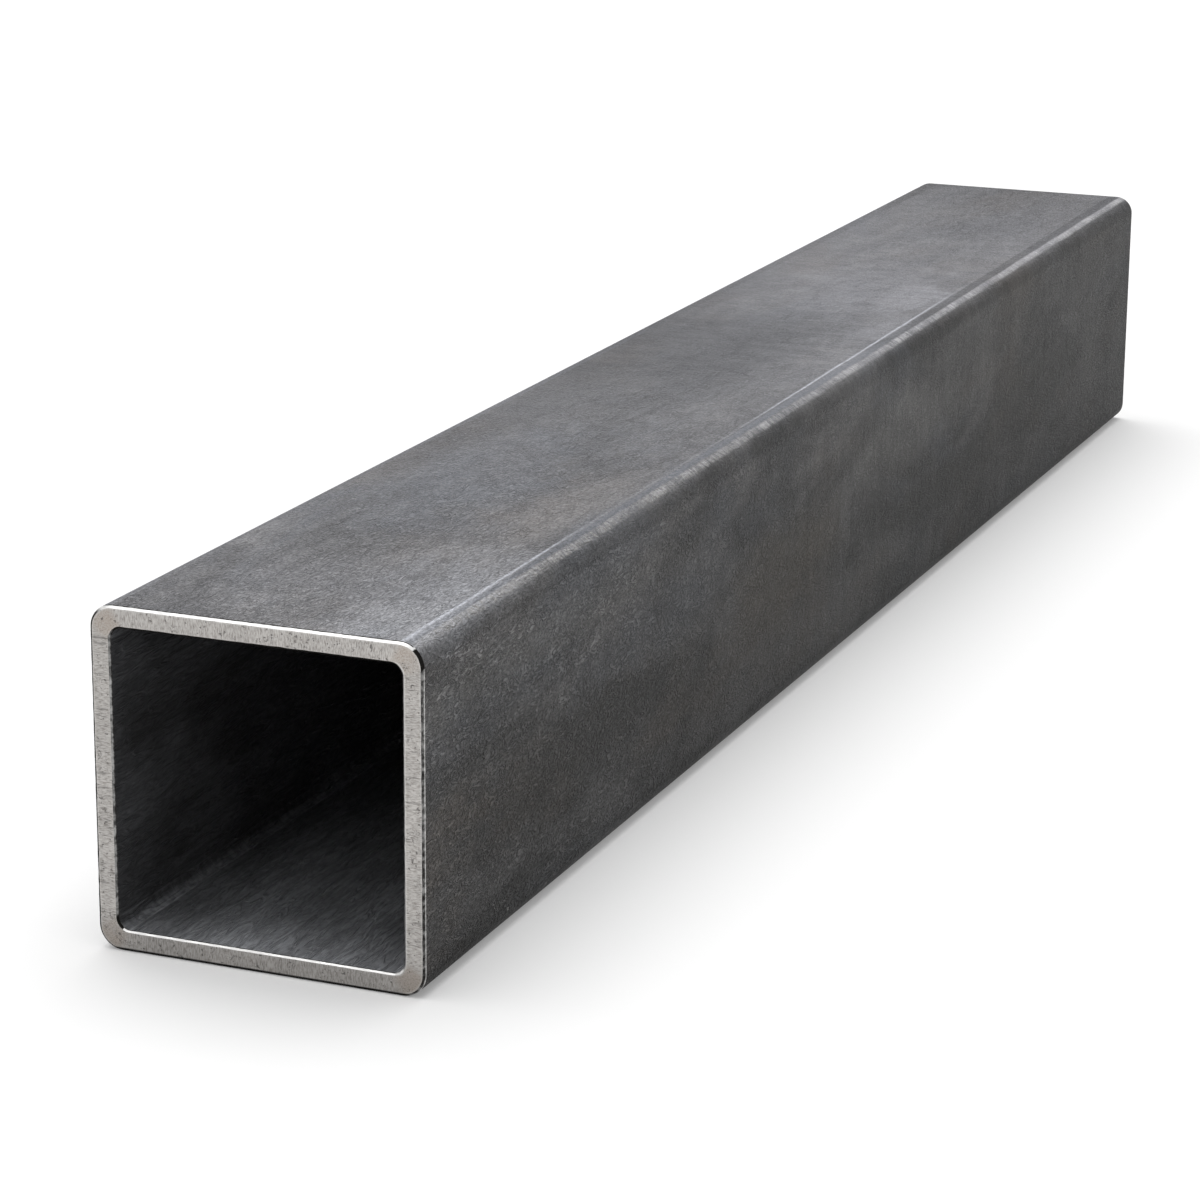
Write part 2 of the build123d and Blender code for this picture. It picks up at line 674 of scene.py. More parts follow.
@dataclass(frozen=True)
class Wrinkling:
    """The shrunken, gritty surface of mill scale, coarsest at the near end, with painted highlights on its
    wrinkle crests.
    """

    wrinkles: Pattern = Pattern(460.0, 1.0, 0.5, 2.0, drawn=LENGTHWISE)
    rings: float = 3.0
    breaks: Pattern = Pattern(230.0, 2.0, 0.5, 0.5, drawn=LENGTHWISE)
    broken: Ramp = Ramp(0.38, 0.62, 0.5, 1.0)
    grain: Pattern = Pattern(1500.0, 2.0, 0.6, 0.4, drawn=LENGTHWISE)
    near_coarse: Ramp = Ramp(-0.375, 0.02, 1.1, 0.3)
    far_coarse: Ramp = Ramp(0.175, 0.375, 0.0, 0.3)
    near_grit: Ramp = Ramp(-0.30, -0.05, 1.0, 0.7)
    left_calm: Ramp = Ramp(-0.046, 0.0, 0.50, 1.0)
    top_calm: Ramp = Ramp(0.0975, 0.0995, 1.0, 0.70)
    bend: Band = Band(0.0002, 0.0100, 0.0006)
    bend_calm: Ramp = Ramp(0.0, 1.0, 1.0, 0.3)
    wrinkle_height: float = 0.5
    grain_height: float = 0.5
    tick_height: float = 0.5
    # Painted highlight: the wrinkle crests are painted paler, as light would catch them.
    lit_ridges: Ramp = Ramp(0.35, 0.95)
    ridge_painted_light: float = 0.7
    grain_shade: float = 1.7
    ground_shade: float = 0.93
    fleck: Colour = (0.26, 0.255, 0.25)
    flecks: Pattern = Pattern(1100.0, 1.0, 0.5, 0.5, drawn=LENGTHWISE)
    flecked: Ramp = Ramp(0.66, 0.74, 0.0, 0.55)
    fleck_places: Pattern = Pattern(70.0, 3.0)
    fleck_part: Ramp = Ramp(0.42, 0.66)

    def lay(self, spot: Spot, wear: Wear, colour: Signal) -> tuple[Signal, Signal, Signal]:
        """Wrinkles the skin.

        Args:
            spot: Where the scale lies.
            wear: Where the bends are worn.
            colour: The colour of the scale.

        Returns:
            The colour with its painted ridge highlights, grit and flecks, the height, and the grain.
        """
        place, along = spot.place, spot.along
        coarse = along.ramp(self.near_coarse) + along.ramp(self.far_coarse)
        bend = spot.past.band(self.bend)
        smoothed = bend.ramp(self.bend_calm)
        grain = place.noise(self.grain)
        wrinkles = place.ripples(self.wrinkles, self.rings) * place.noise(self.breaks).ramp(self.broken)
        wrinkles = wrinkles * spot.beside.ramp(self.left_calm) * spot.up.ramp(self.top_calm)

        skin = wrinkles * self.wrinkle_height + grain * self.grain_height
        height = (skin * smoothed + wear.ticks * bend * self.tick_height) * coarse

        # Painted highlight on the wrinkle crests.
        lit_ridges = wrinkles.ramp(self.lit_ridges) * smoothed * coarse * self.ridge_painted_light
        grit = (grain - MIDDLE) * coarse * along.ramp(self.near_grit) * self.grain_shade
        colour = colour.shade(lit_ridges + grit + self.ground_shade)
        flecks = place.noise(self.flecks).ramp(self.flecked) * coarse
        flecks = flecks * place.noise(self.fleck_places).ramp(self.fleck_part)
        return colour.towards(self.fleck, flecks), height, grain


@dataclass(frozen=True)
class MillScale(Finish):
    """Dark oxide that hot rolling leaves on steel: matt, wrinkled and cloudy, worn on the bends, with painted
    light and shade on its faces and bends.
    """

    name: str = "mill_scale"
    clouding: Clouding = Clouding()
    bend_wear: BendWear = BendWear()
    wrinkling: Wrinkling = Wrinkling()
    roughness: Ramp = Ramp(0.3, 0.7, 0.54, 0.46)
    specular: float = 0.08
    dull_stretch: Band = Band(-0.07, 0.065, 0.045)
    dull_middle: float = -0.55
    dull_far: Ramp = Ramp(0.27, 0.36, 0.0, -0.45)
    dull_side: Ramp = Ramp(0.0, 0.036, 1.0, 0.0)
    relief: float = 0.0009

    def _mirroring(self, spot: Spot, wear: Wear) -> Signal:
        """Works out how much the scale mirrors.

        Args:
            spot: Where the scale lies.
            wear: Where the bends are worn.

        Returns:
            The specular level.
        """
        middle = spot.along.band(self.dull_stretch) * self.dull_middle
        dull = (spot.along.ramp(self.dull_far) + middle) * spot.beside.ramp(self.dull_side)
        strip = wear.smooth * spot.along.ramp(self.bend_wear.smooth_dull)
        return (1.0 + dull + strip) * self.specular

    def levels(self, spot: Spot) -> dict[str, object]:
        """Finishes the outside of the tube.

        Args:
            spot: Where the scale lies.

        Returns:
            What feeds each socket of the shader.
        """
        spot.past = self.bend_wear.wandered(spot)
        wear = self.bend_wear.find(spot)
        colour = self.clouding.lay(spot)
        colour = self.bend_wear.lay(spot, wear, colour)
        colour, height, grain = self.wrinkling.lay(spot, wear, colour)
        smoother = (wear.band + wear.line) * self.bend_wear.smoother
        return {
            "Base Color": colour,
            "Metallic": wear.worn_highlight.most(wear.line) * self.bend_wear.metal,
            "Roughness": grain.ramp(self.roughness) + smoother,
            "Specular IOR Level": self._mirroring(spot, wear),
            "Normal": height.bump(self.relief),
        }


@dataclass(frozen=True)
class BoreScale(Finish):
    """The same oxide inside the tube, with drag streaks along its length, and pale dust near its mouths that
    is also painted light falling in through them.
    """

    wall: float
    half_length: float
    name: str = "bore_scale"
    dark: Colour = (0.034, 0.034, 0.035)
    light: Colour = (0.078, 0.079, 0.083)
    clouds: Pattern = Pattern(45.0, 6.0, 0.62, drawn=(1.0, 0.4, 1.0))
    cloudy: Ramp = Ramp(0.35, 0.68)

    # Dust and painted light: the floor is painted pale near each mouth, fading inward, where light falls in.
    dust_and_light: Colour = (0.40, 0.41, 0.435)
    dust_and_light_depth: Ramp = Ramp(0.0001, 0.0022, 1.0, 0.0)
    dust_and_light_reach: Ramp = Ramp(0.0, 0.20, 1.0, 0.25)
    dust_and_light_clouds: Ramp = Ramp(0.3, 0.7, 0.55, 0.95)
    dust_and_light_left: Ramp = Ramp(-0.044, -0.008, 0.5, 1.0)
    dust_and_light_right: Ramp = Ramp(0.018, 0.044, 1.0, 0.6)

    streaks: Pattern = Pattern(900.0, 4.0, 0.7, 0.4, drawn=(1.0, 0.06, 1.0))
    streaked: Ramp = Ramp(0.34, 0.66, 0.87, 1.13)
    lines: Pattern = Pattern(420.0, 1.0, 0.5, 1.2, drawn=(1.0, 0.16, 1.0))
    line_rings: float = 3.0
    lined: Ramp = Ramp(-0.9, 0.9, -0.13, 0.13)
    grain: Pattern = Pattern(1400.0, 2.0, drawn=LENGTHWISE)
    grained: Ramp = Ramp(0.3, 0.7, -0.12, 0.12)

    ribs: Pattern = Pattern(460.0, 3.0, 0.6, 0.5, drawn=(0.22, 1.0, 1.0))
    ribbed: Ramp = Ramp(0.38, 0.62, 0.0, 0.5)
    corner: Band = Band(0.0006, 0.0104, 0.0005)
    corner_start: Band = Band(-0.0001, 0.0007, 0.0004)
    corner_end: Band = Band(0.0103, 0.0111, 0.0004)
    corner_lines: float = 0.75

    line_height: float = 0.35
    grain_height: float = 0.5
    rib_height: float = 0.5
    relief: float = 0.0005
    roughness: float = 0.6
    specular: float = 0.3

    def _dusted_and_lit(self, spot: Spot, clouds: Signal) -> Signal:
        """Finds where the bore's floor is pale with dust and painted light, strongest near the mouths.

        Args:
            spot: Where the scale lies.
            clouds: The pattern that the dust is thicker and thinner by.

        Returns:
            How much of the floor the dust and painted light cover.
        """
        above_floor = spot.up - self.wall
        inside = self.half_length - abs(spot.along)
        dust_and_light = above_floor.ramp(self.dust_and_light_depth) * inside.ramp(self.dust_and_light_reach)
        across = spot.beside.ramp(self.dust_and_light_left) * spot.beside.ramp(self.dust_and_light_right)
        return dust_and_light * clouds.ramp(self.dust_and_light_clouds) * across

    def levels(self, spot: Spot) -> dict[str, object]:
        """Finishes the inside of the tube.

        Args:
            spot: Where the scale lies.

        Returns:
            What feeds each socket of the shader.
        """
        clouds = spot.place.noise(self.clouds)
        streaks = spot.place.noise(self.streaks)
        lines = spot.place.ripples(self.lines, self.line_rings)
        grain = spot.place.noise(self.grain)
        colour = clouds.ramp(self.cloudy).between(self.dark, self.light)
        # Pale floor near the mouths: dust and painted light.
        colour = colour.towards(self.dust_and_light, self._dusted_and_lit(spot, clouds))
        colour = colour.shade(streaks.ramp(self.streaked) + lines.ramp(self.lined) + grain.ramp(self.grained))

        # Rolled corner: faint ribs across it between two fine lines
        ribs = spot.around.noise(self.ribs)
        corner = spot.past.band(self.corner)
        edges = spot.past.band(self.corner_start) + spot.past.band(self.corner_end)
        colour = colour.shade(1.0 + corner * ribs.ramp(self.ribbed) + edges * self.corner_lines)

        height = lines * self.line_height + grain * self.grain_height + ribs * corner * self.rib_height
        return {
            "Base Color": colour,
            "Roughness": self.roughness,
            "Specular IOR Level": self.specular,
            "Normal": height.bump(self.relief),
        }


@dataclass(frozen=True)
class SawnSteel(Finish):
    """The bare sawn ring at each end: saw marks across the wall, pits, tarnished corners, painted highlights
    along its rims and painted shade low down and on its left.
    """

    wall: float
    name: str = "sawn_steel"
    pale: Colour = (0.485, 0.468, 0.450)
    marked: Colour = (0.27, 0.252, 0.236)
    tarnish: Colour = (0.36, 0.305, 0.26)
    rim: Colour = (0.66, 0.65, 0.635)

    corner: Band = Band(0.0005, 0.0105, 0.002)
    off_corner: Ramp = Ramp(0.0, 1.0, 1.0, 0.0)
    saw_marks: Pattern = Pattern(3200.0, 2.0, 0.7, 0.3, drawn=(1.0, 0.14, 1.0))
    corner_grain: Pattern = Pattern(2200.0, 2.0, 0.6)
    mark_depth: Ramp = Ramp(0.30, 0.62)
    patches: Pattern = Pattern(110.0, 5.0, 0.65)
    patched: Ramp = Ramp(0.3, 0.7, 0.92, 1.07)
    tarnished: Ramp = Ramp(0.35, 0.65, 0.18, 0.6)

    deep_marks: Pattern = Pattern(900.0, 3.0, 0.65, 0.4, drawn=(1.0, 0.10, 1.0))
    deep_mark_depth: Ramp = Ramp(0.56, 0.66, 0.0, 0.6)
    on_side_walls: Ramp = Ramp(0.040, 0.044, 0.35, 1.0)
    scratches: Pattern = Pattern(300.0, 2.0, 0.5, 1.5)
    scratch_width: float = 0.016
    breaks: Pattern = Pattern(420.0, 2.0)
    broken: Ramp = Ramp(0.50, 0.60)
    pits: Pattern = Pattern(900.0, 1.0)
    pitted: Ramp = Ramp(0.68, 0.74)
    slip: Band = Band(0.0902, 0.0907, 0.0002)
    slip_wall: Ramp = Ramp(-0.044, -0.043, 0.8, 0.0)
    dent_shade: Ramp = Ramp(0.0, 1.0, 1.0, 0.45)
    dent_height: float = -1.5

    # Painted highlights: pale lines along the rims, strongest at the right wall's inner rim.
    rim_width: float = 0.0008
    outer_rim: float = 0.34
    # Painted shade: a dark strip at the foot of the face as the contact shadow, the lower face darker as a
    # painted reflection of the shaded floor, and the left of the face darker.
    contact_shadow: Ramp = Ramp(0.0009, 0.0012, 0.12, 1.0)
    inner_rim: Ramp = Ramp(0.040, 0.043, 0.12, 0.60)
    low_painted_shade: Ramp = Ramp(0.004, 0.014, 0.80, 1.0)
    left_painted_shade: Ramp = Ramp(-0.05, 0.0, 0.93, 1.0)
    roughness: Ramp = Ramp(0.3, 0.7, 0.42, 0.30)
    relief: float = 0.00006

    def _dents(self, spot: Spot, corner: Signal) -> Signal:
        """Finds the deep saw marks, the scratches, the pits and the mark where the saw slipped.

        Args:
            spot: Where the steel is.
            corner: Where the rolled corners are.

        Returns:
            How deep the steel is marked.
        """
        deep = spot.around.noise(self.deep_marks).ramp(self.deep_mark_depth) * corner.ramp(self.off_corner)
        deep = deep * abs(spot.beside).ramp(self.on_side_walls)
        scratches = spot.place.curls(self.scratches, self.scratch_width)
        scratches = scratches * spot.place.noise(self.breaks).ramp(self.broken)
        pits = spot.place.noise(self.pits).ramp(self.pitted)
        slip = spot.up.band(self.slip) * spot.beside.ramp(self.slip_wall)
        return pits.most(scratches, deep, slip)

    def _rim_highlights(self, spot: Spot) -> Signal:
        """Finds the painted highlights along both rims of the wall: pale lines, strongest along the right
        wall's inner rim.

        Args:
            spot: Where the steel is.

        Returns:
            The lines' strength.
        """
        _, across, _ = spot.around.split()
        inner = across.ramp(Ramp(0.0, self.rim_width, 1.0, 0.0)) * spot.beside.ramp(self.inner_rim)
        return inner + across.ramp(Ramp(self.wall - self.rim_width, self.wall, 0.0, self.outer_rim))

    def levels(self, spot: Spot) -> dict[str, object]:
        """Finishes the two sawn rings.

        Args:
            spot: Where the steel is.

        Returns:
            What feeds each socket of the shader.
        """
        corner = spot.past.band(self.corner)
        marks = corner.between(spot.around.noise(self.saw_marks), spot.place.noise(self.corner_grain))
        patches = spot.place.noise(self.patches)
        dents = self._dents(spot, corner)
        colour = marks.ramp(self.mark_depth).between(self.marked, self.pale)
        colour = colour.shade(patches.ramp(self.patched))
        colour = colour.towards(self.tarnish, corner * patches.ramp(self.tarnished))
        colour = colour.shade(dents.ramp(self.dent_shade))
        # Painted highlights along the rims.
        colour = colour.towards(self.rim, self._rim_highlights(spot))
        # Painted shade: contact shadow at the foot, darker low down and on the left.
        painted_shade = spot.up.ramp(self.contact_shadow) * spot.up.ramp(self.low_painted_shade) * spot.beside.ramp(self.left_painted_shade)
        height = marks + dents * self.dent_height
        return {
            "Base Color": colour.shade(painted_shade),
            "Metallic": 1.0,
            "Roughness": marks.ramp(self.roughness),
            "Normal": height.bump(self.relief),
        }


@dataclass(frozen=True)
class FiledEdge(Finish):
    """The narrow bevel that the file leaves round a sawn edge, bright where it was pressed hardest, and
    painted dark as the contact shadow on the outer underside.
    """

    name: str
    width: float
    half_length: float
    rim_shine: Ramp
    bright: Colour = (0.74, 0.735, 0.725)
    # The dull colour is also the painted shadow of the outer underside bevels.
    dull: Colour = (0.016, 0.015, 0.014)
    rim_start: float = 0.62
    rim_end: float = 0.86
    nicks: Pattern = Pattern(620.0, 3.0, 0.6)
    nicked: Ramp = Ramp(0.3, 0.7, -0.09, 0.09)
    shine: Ramp = Ramp(0.2, 0.85)
    bare: Ramp = Ramp(0.0, 0.3)
    roughness: Ramp = Ramp(0.3, 0.7, 0.43, 0.28)
    specular: float = 0.0
    relief: float = 0.00008

    def levels(self, spot: Spot) -> dict[str, object]:
        """Finishes one kind of broken edge.

        Args:
            spot: Where the edge is.

        Returns:
            What feeds each socket of the shader.
        """
        depth = self.half_length - abs(spot.along)
        rim = depth.ramp(Ramp(self.width * self.rim_start, self.width * self.rim_end))
        nicks = spot.place.noise(self.nicks)
        filed = spot.carried(FILED)
        filed = filed + rim * filed.ramp(self.rim_shine) + nicks.ramp(self.nicked)
        shine = filed.ramp(self.shine)
        return {
            "Base Color": shine.between(self.dull, self.bright),
            "Metallic": shine.ramp(self.bare),
            "Roughness": nicks.ramp(self.roughness),
            "Specular IOR Level": self.specular,
            "Normal": nicks.bump(self.relief),
        }


@dataclass(frozen=True)
class Filing:
    """How bright a rim is, by the way the bevel faces: how bright the file left it, and on the outer
    underside a painted shadow.

    The turns are in degrees round the tube: 0 faces up, 90 to the right, 180 down and -90 to the
    left. The levels are the filing at each of them, and run evenly from one to the next.
    """

    turns: tuple[float, ...]
    levels: tuple[float, ...]

    def over(self, facing: Vector) -> float:
        """Gives the filing of a bevel.

        Args:
            facing: Which way the bevel faces.

        Returns:
            The filing there: 1 is bright, 0 and below are dark.
        """
        turn = math.degrees(math.atan2(facing.x, facing.z))
        after = next(number for number, stop in enumerate(self.turns) if turn <= stop)
        if after == 0:
            return self.levels[0]
        start, end = self.turns[after - 1], self.turns[after]
        share = (turn - start) / (end - start)
        return self.levels[after - 1] + share * (self.levels[after] - self.levels[after - 1])


# Outer rims: the dark underside bevels are painted shadow, where the tube meets the floor.
OUTER_FILING = Filing(
    turns=(-180.0, -170.0, -80.0, -60.0, -3.0, 36.0, 43.0, 82.0, 89.0, 170.0, 180.0),
    levels=(-0.3, -0.3, -0.3, 0.2, 1.0, 1.0, -0.6, -0.6, 0.33, 0.33, -0.3),
)
OUTER_RIM = Ramp(0.6, 1.0, 0.2, -0.75)
INNER_FILING = Filing(
    turns=(-180.0, -170.0, -80.0, -12.0, -3.0, 30.0, 38.0, 82.0, 89.0, 170.0, 180.0),
    levels=(0.1, 0.15, 0.8, 0.7, 1.0, 1.0, -0.6, -0.6, 0.42, 0.15, 0.1),
)
INNER_RIM = Ramp(0.6, 1.0, -0.12, -0.85)


@dataclass
class SquareTube:
    """The tube, rebuilt as one fine mesh over the CAD solid, with its finishes."""

    width: float
    length: float
    middle: Vector
    wall: float = 0.0063
    outer_radius: float = 0.007
    inner_radius: float = 0.0035
    outer_break: float = 0.0008
    inner_break: float = 0.0006
    flat_cuts: int = 85
    corner_segments: int = 12
    ring_spacing: float = 0.010
    wander: float = 0.00012
    wander_per_metre: float = 420.0
    hollow: float = 0.00012
    hollow_per_metre: float = 22.0
    hollow_start: float = 0.021
    end_facing: float = 0.999
    crease: float = math.radians(30)

    @classmethod
    def from_frame(cls) -> "SquareTube":
        """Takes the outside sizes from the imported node."""
        low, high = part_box(NODE)
        return cls(width=high.x - low.x, length=high.y - low.y, middle=(low + high) / 2)

    @property
    def bore_half(self) -> float:
        """Half the width of the bore."""
        return self.width / 2 - self.wall

    @property
    def bend(self) -> float:
        """The length of a corner's outer arc."""
        return self.outer_radius * QUARTER_TURN

    @property
    def quarter(self) -> float:
        """The distance round the outside from the middle of one face to the middle of the next."""
        return self.width - 2 * self.outer_radius + self.bend

    @property
    def girth(self) -> float:
        """The distance all the way round the outside."""
        return 4 * self.quarter

    def _outline(self, mesh: bmesh.types.BMesh, half: float, radius: float) -> list[bmesh.types.BMEdge]:
        """Draws a closed square outline with round corners at the near sawn end.

        Args:
            mesh: The mesh to draw in.
            half: Half the square's side.
            radius: The corner radius.

        Returns:
            The outline's edges.
        """
        before = set(mesh.edges)
        upright = Matrix.Rotation(QUARTER_TURN, 4, "X")
        place = Matrix.Translation(self.middle - Vector((0, self.length / 2, 0))) @ upright
        square = bmesh.ops.create_grid(mesh, x_segments=1, y_segments=1, size=half, matrix=place)
        bmesh.ops.bevel(mesh, geom=square["verts"], offset=radius, segments=self.corner_segments,
                        profile=0.5, affect="VERTICES", material=-1)
        drawn = [edge for edge in mesh.edges if edge not in before]
        flats = [edge for edge in drawn if edge.calc_length() > half]
        bmesh.ops.delete(mesh, geom=list(drawn[0].link_faces), context="FACES_ONLY")
        bmesh.ops.subdivide_edges(mesh, edges=flats, cuts=self.flat_cuts)
        return [edge for edge in mesh.edges if edge not in before]

    def _shell(self, mesh: bmesh.types.BMesh) -> None:
        """Makes the plain hollow bar: the sawn ring, drawn out to the far end.

        Args:
            mesh: The empty mesh to build in.
        """
        outer = self._outline(mesh, self.width / 2, self.outer_radius)
        inner = self._outline(mesh, self.bore_half, self.inner_radius)
        bmesh.ops.bridge_loops(mesh, edges=outer + inner)
        drawn = bmesh.ops.extrude_face_region(mesh, geom=list(mesh.faces), use_keep_orig=True)["geom"]
        far = [item for item in drawn if isinstance(item, bmesh.types.BMVert)]
        bmesh.ops.translate(mesh, verts=far, vec=Vector((0, self.length, 0)))
        bmesh.ops.recalc_face_normals(mesh, faces=mesh.faces)

    def _is_sawn(self, face: bmesh.types.BMFace) -> bool:
        """Tells whether a face lies in the plane of a sawn end."""
        return abs(face.normal.y) > self.end_facing

    def _is_outside(self, point: Vector) -> bool:
        """Tells whether a point lies nearer to the skin than to the bore."""
        away = point - self.middle
        return max(abs(away.x), abs(away.z)) > self.bore_half + self.wall / 2

    def _break_edges(self, mesh: bmesh.types.BMesh) -> None:
        """Bevels the skin's and the bore's rims at both sawn ends and names every face's surface.

        Args:
            mesh: The hollow bar.
        """
        for outside, size, surface in (
            (True, self.outer_break, Surface.OUTER_BREAK),
            (False, self.inner_break, Surface.INNER_BREAK),
        ):
            rim = [edge for edge in mesh.edges
                   if sum(self._is_sawn(face) for face in edge.link_faces) == 1
                   and self._is_outside(edge.verts[0].co) == outside]
            made = bmesh.ops.bevel(mesh, geom=rim, offset=size, segments=1, profile=0.5,
                                   affect="EDGES", material=-1)
            for face in made["faces"]:
                face.material_index = surface.value
        for face in mesh.faces:
            if face.material_index in BREAKS:
                continue
            if self._is_sawn(face):
                face.material_index = Surface.SAWN.value
            elif not self._is_outside(face.calc_center_median()):
                face.material_index = Surface.BORE.value

    def _cut_rings(self, mesh: bmesh.types.BMesh) -> None:
        """Divides the long faces along the tube.

        Args:
            mesh: The tube with its broken edges.
        """
        count = round(self.length / self.ring_spacing)
        for step in range(1, count):
            level = self.middle + Vector((0, self.length * (step / count - 0.5), 0))
            everything = [*mesh.verts, *mesh.edges, *mesh.faces]
            bmesh.ops.bisect_plane(mesh, geom=everything, plane_co=level, plane_no=(0, 1, 0))

    def _wander_breaks(self, mesh: bmesh.types.BMesh) -> None:
        """Lets the hand-filed bevels run a little wider and narrower.

        Args:
            mesh: The tube with its broken edges.
        """
        for vert in mesh.verts:
            surfaces = {face.material_index for face in vert.link_faces}
            if not surfaces & BREAKS:
                continue
            shift = self.wander * noise.noise(vert.co * self.wander_per_metre)
            away = vert.co - self.middle
            if Surface.SAWN.value in surfaces:
                outward = Vector((away.x, 0, away.z)).normalized()
                vert.co += outward * shift * (1 if Surface.OUTER_BREAK.value in surfaces else -1)
            else:
                vert.co.y += shift * (-1 if away.y > 0 else 1)

    def _hollow_flats(self, mesh: bmesh.types.BMesh) -> None:
        """Lets the flat faces of the skin dip a hair below their bends, as rolled faces do.

        Args:
            mesh: The tube with its broken edges.
        """
        for vert in mesh.verts:
            if any(face.material_index != Surface.SKIN.value for face in vert.link_faces):
                continue
            into = self._around(vert.co)[1]
            clear = min(max(-into / self.hollow_start, 0.0), 1.0)
            dip = self.hollow * clear * (1 + noise.noise(vert.co * self.hollow_per_metre)) / 2
            vert.co -= vert.normal * dip

    def _around(self, point: Vector) -> tuple[float, float, float]:
        """Measures a point's place round the section.

        Args:
            point: A point on the skin, the bore or a sawn end.

        Returns:
            The distance round the outside from the middle of the underside; how far the point is
            into the nearest rolled corner, negative on the flats; and how far it is past the end
            of the top's or the underside's flat, negative on them. All in metres.
        """
        away = point - self.middle
        outside = self._is_outside(point)
        half = self.width / 2 if outside else self.bore_half
        radius = self.outer_radius if outside else self.inner_radius
        flat = half - radius
        sides = ((-away.z, away.x), (away.x, away.z), (away.z, -away.x), (-away.x, -away.z))
        number, (depth, along) = max(enumerate(sides), key=lambda side: side[1][0])
        beyond = abs(along) - flat
        turn = math.atan2(beyond, max(depth - flat, beyond)) if beyond > 0 else 0.0
        share = turn / (QUARTER_TURN / 2)
        reach = flat + (self.quarter / 2 - flat) * share if turn else abs(along)
        into = self.bend / 2 * share if turn else beyond
        past = self.bend - into if number % 2 else into
        return (number * self.quarter + math.copysign(reach, along)) % self.girth, into, past

    def _map(self, mesh: bmesh.types.BMesh) -> None:
        """Lays the piece's own coordinates on its faces and corners.

        Args:
            mesh: The finished shape.
        """
        uv = mesh.loops.layers.uv.new(AROUND)
        past = mesh.verts.layers.float.new(PAST)
        filed = mesh.verts.layers.float.new(FILED)
        stations = {}
        for vert in mesh.verts:
            stations[vert], _, vert[past] = self._around(vert.co)
            facing = sum((face.normal for face in vert.link_faces if face.material_index in BREAKS), Vector())
            if facing.length > 0:
                filing = OUTER_FILING if self._is_outside(vert.co) else INNER_FILING
                vert[filed] = filing.over(facing)
        for face in mesh.faces:
            first = stations[face.loops[0].vert]
            sawn = face.material_index == Surface.SAWN.value
            for loop in face.loops:
                station = stations[loop.vert]
                station += self.girth * round((first - station) / self.girth)
                across = self.wall if self._is_outside(loop.vert.co) else 0.0
                loop[uv].uv = (station, across if sawn else loop.vert.co.y - self.middle.y)

    def _finishes(self) -> dict[Surface, bpy.types.Material]:
        """Makes the finishes.

        Returns:
            Each surface's material.
        """
        half = self.length / 2
        return {
            Surface.SKIN: MillScale().build(),
            Surface.BORE: BoreScale(self.wall, half).build(),
            Surface.SAWN: SawnSteel(self.wall).build(),
            Surface.OUTER_BREAK: FiledEdge("filed_edge", self.outer_break, half, OUTER_RIM).build(),
            Surface.INNER_BREAK: FiledEdge("filed_mouth", self.inner_break, half, INNER_RIM).build(),
        }

    def build(self) -> bpy.types.Object:
        """Models the tube and dresses it.

        Returns:
            The finished piece.
        """
        mesh = bmesh.new()
        self._shell(mesh)
        self._break_edges(mesh)
        self._cut_rings(mesh)
        self._map(mesh)
        self._hollow_flats(mesh)
        self._wander_breaks(mesh)
        for face in mesh.faces:
            face.smooth = face.material_index != Surface.SAWN.value
        data = bpy.data.meshes.new(NODE + "_dressed")
        mesh.to_mesh(data)
        mesh.free()
        data.set_sharp_from_angle(angle=self.crease)
        finishes = self._finishes()
        for surface in Surface:
            data.materials.append(finishes[surface])
        piece = bpy.data.objects.new(NODE + "_dressed", data)
        bpy.context.scene.collection.objects.link(piece)
        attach(piece, BODY)
        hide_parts(NODE)
        return piece


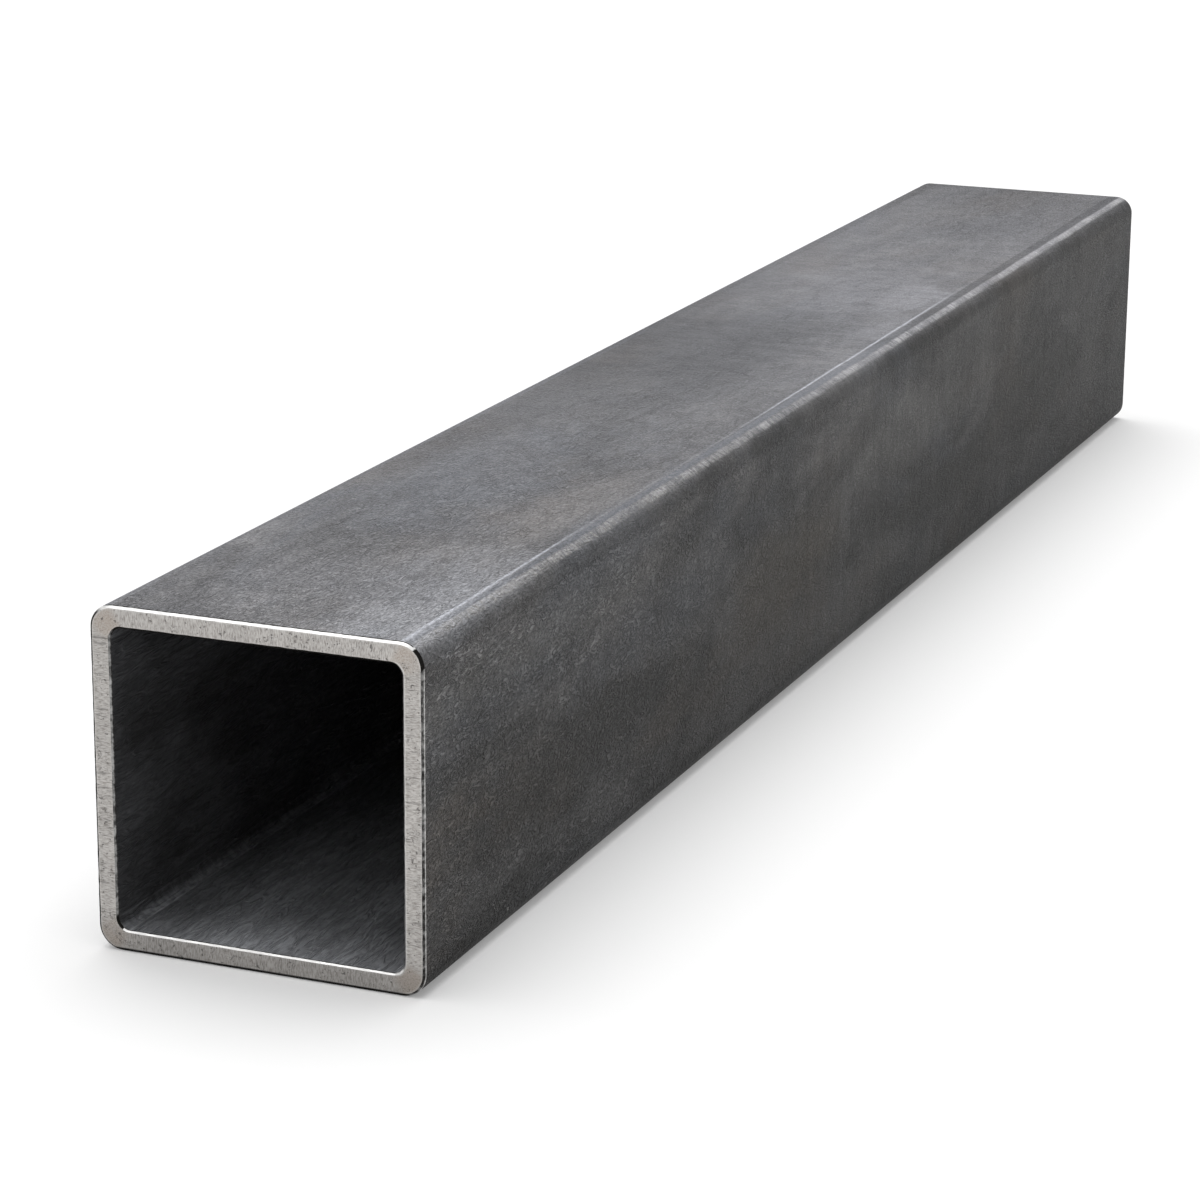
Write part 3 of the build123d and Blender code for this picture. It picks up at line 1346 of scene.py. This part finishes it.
@dataclass
class Studio:
    """A plain pale floor, soft lights overhead and behind, a pale surround and the camera."""

    floor_size: float = 40.0
    floor_colour: Colour = (0.8, 0.8, 0.8)
    floor_glow: float = 0.2
    surround: float = 0.5
    key_strength: float = 0.65
    key_lean_left: float = 8.0
    key_lean_back: float = 11.0
    key_spread: float = 60.0
    sheen_strength: float = 3.2
    sheen_colour: Colour = (0.95, 0.965, 1.09)
    sheen_turn: float = 22.0
    sheen_height: float = 24.0
    sheen_distance: float = 4.0
    sheen_width: float = 4.5
    sheen_depth: float = 1.5
    lens: float = 111.0
    camera_place: Point = (0.4400, -1.2180, 0.3787)
    camera_target: Point = (0.0191, -0.1750, 0.0560)
    camera_roll: float = 0.423

    def _seen(self, shader: Shader) -> Signal:
        """Tells the rays that see the background itself from the light that it sheds.

        Args:
            shader: The writer of the background's tree.

        Returns:
            1 for the rays that see it, 0 for the light.
        """
        path = shader.add("ShaderNodeLightPath").outputs
        seeing = ("Is Camera Ray", "Is Glossy Ray", "Is Transmission Ray")
        first, *others = (Signal(shader, path[name]) for name in seeing)
        return first.most(*others)

    def light_world(self) -> None:
        """Makes the surround white to look at, and gives it a plain level of soft light."""
        world = bpy.data.worlds.new("surround")
        world.use_nodes = True
        bpy.context.scene.world = world
        shader = Shader(world.node_tree)
        background = shader.add("ShaderNodeBackground")
        shader.feed(background.inputs["Color"], (1.0, 1.0, 1.0))
        strength = self._seen(shader).ramp(Ramp(0.0, 1.0, self.surround, 1.0))
        shader.feed(background.inputs["Strength"], strength)
        output = shader.add("ShaderNodeOutputWorld")
        shader.feed(output.inputs["Surface"], background.outputs[0])

    def _hang(self, lamp: bpy.types.Light, towards: Vector) -> bpy.types.Object:
        """Puts a light in the scene, shining at the tube.

        Args:
            lamp: The light's data.
            towards: Where the light stands, as seen from the tube.

        Returns:
            The light.
        """
        light = bpy.data.objects.new(lamp.name, lamp)
        light.location = towards
        light.rotation_euler = towards.to_track_quat("Z", "Y").to_euler()
        bpy.context.scene.collection.objects.link(light)
        return light

    def hang_key(self) -> bpy.types.Object:
        """Hangs the broad soft light overhead, a little behind the tube and to its left.

        Returns:
            The light.
        """
        lamp = bpy.data.lights.new("overhead_softbox", "SUN")
        lamp.energy = self.key_strength * math.pi
        lamp.angle = math.radians(self.key_spread)
        left, back = math.radians(self.key_lean_left), math.radians(self.key_lean_back)
        return self._hang(lamp, Vector((-math.tan(left), math.tan(back), 1.0)))

    def stand_sheen(self) -> bpy.types.Object:
        """Stands a wide low softbox behind the tube, that only shows as sheen on its skin.

        Returns:
            The light.
        """
        lamp = bpy.data.lights.new("sheen_softbox", "AREA")
        lamp.shape = "RECTANGLE"
        lamp.color = self.sheen_colour
        lamp.size, lamp.size_y = self.sheen_width, self.sheen_depth
        lamp.energy = self.sheen_strength * math.pi * self.sheen_width * self.sheen_depth
        turn, height = math.radians(self.sheen_turn), math.radians(self.sheen_height)
        level = math.cos(height)
        towards = Vector((-math.sin(turn) * level, math.cos(turn) * level, math.sin(height)))
        light = self._hang(lamp, towards * self.sheen_distance)
        light.visible_camera = False
        light.visible_diffuse = False
        return light

    def lay_floor(self) -> bpy.types.Object:
        """Lays the pale floor under the tube.

        Returns:
            The floor.
        """
        mesh = bmesh.new()
        bmesh.ops.create_grid(mesh, x_segments=1, y_segments=1, size=self.floor_size / 2)
        data = bpy.data.meshes.new("floor")
        mesh.to_mesh(data)
        mesh.free()
        material = bpy.data.materials.new("studio_floor")
        material.use_nodes = True
        shader = Shader(material.node_tree)
        diffuse = shader.add("ShaderNodeBsdfDiffuse")
        shader.feed(diffuse.inputs["Color"], self.floor_colour)
        glow = shader.add("ShaderNodeEmission")
        shader.feed(glow.inputs["Strength"], self._seen(shader) * self.floor_glow)
        both = shader.add("ShaderNodeAddShader")
        shader.feed(both.inputs[0], diffuse.outputs[0])
        shader.feed(both.inputs[1], glow.outputs[0])
        output = shader.add("ShaderNodeOutputMaterial")
        shader.feed(output.inputs["Surface"], both.outputs[0])
        data.materials.append(material)
        floor = bpy.data.objects.new("floor", data)
        bpy.context.scene.collection.objects.link(floor)
        return floor

    def set_camera(self) -> bpy.types.Object:
        """Stands the camera to the right of the near end, looking down along the tube.

        Returns:
            The camera.
        """
        data = bpy.data.cameras.new("camera")
        data.lens = self.lens
        camera = bpy.data.objects.new("camera", data)
        place, target = Vector(self.camera_place), Vector(self.camera_target)
        camera.location = place
        camera.rotation_mode = "QUATERNION"
        level = (target - place).to_track_quat("-Z", "Y")
        camera.rotation_quaternion = level @ Quaternion((0, 0, 1), math.radians(self.camera_roll))
        bpy.context.scene.collection.objects.link(camera)
        bpy.context.scene.camera = camera
        return camera


def main() -> None:
    """Builds the tube and its studio and reports each piece."""
    logging.basicConfig(level=logging.INFO, format="%(name)s: %(message)s")
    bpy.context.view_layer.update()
    bpy.context.scene.view_settings.view_transform = "Standard"
    piece = SquareTube.from_frame().build()
    log.info("%s: %d faces", piece.name, len(piece.data.polygons))
    studio = Studio()
    studio.light_world()
    for prop in (studio.hang_key(), studio.stand_sheen(), studio.lay_floor(), studio.set_camera()):
        log.info("%s stands ready", prop.name)


if __name__ == "__main__":
    main()
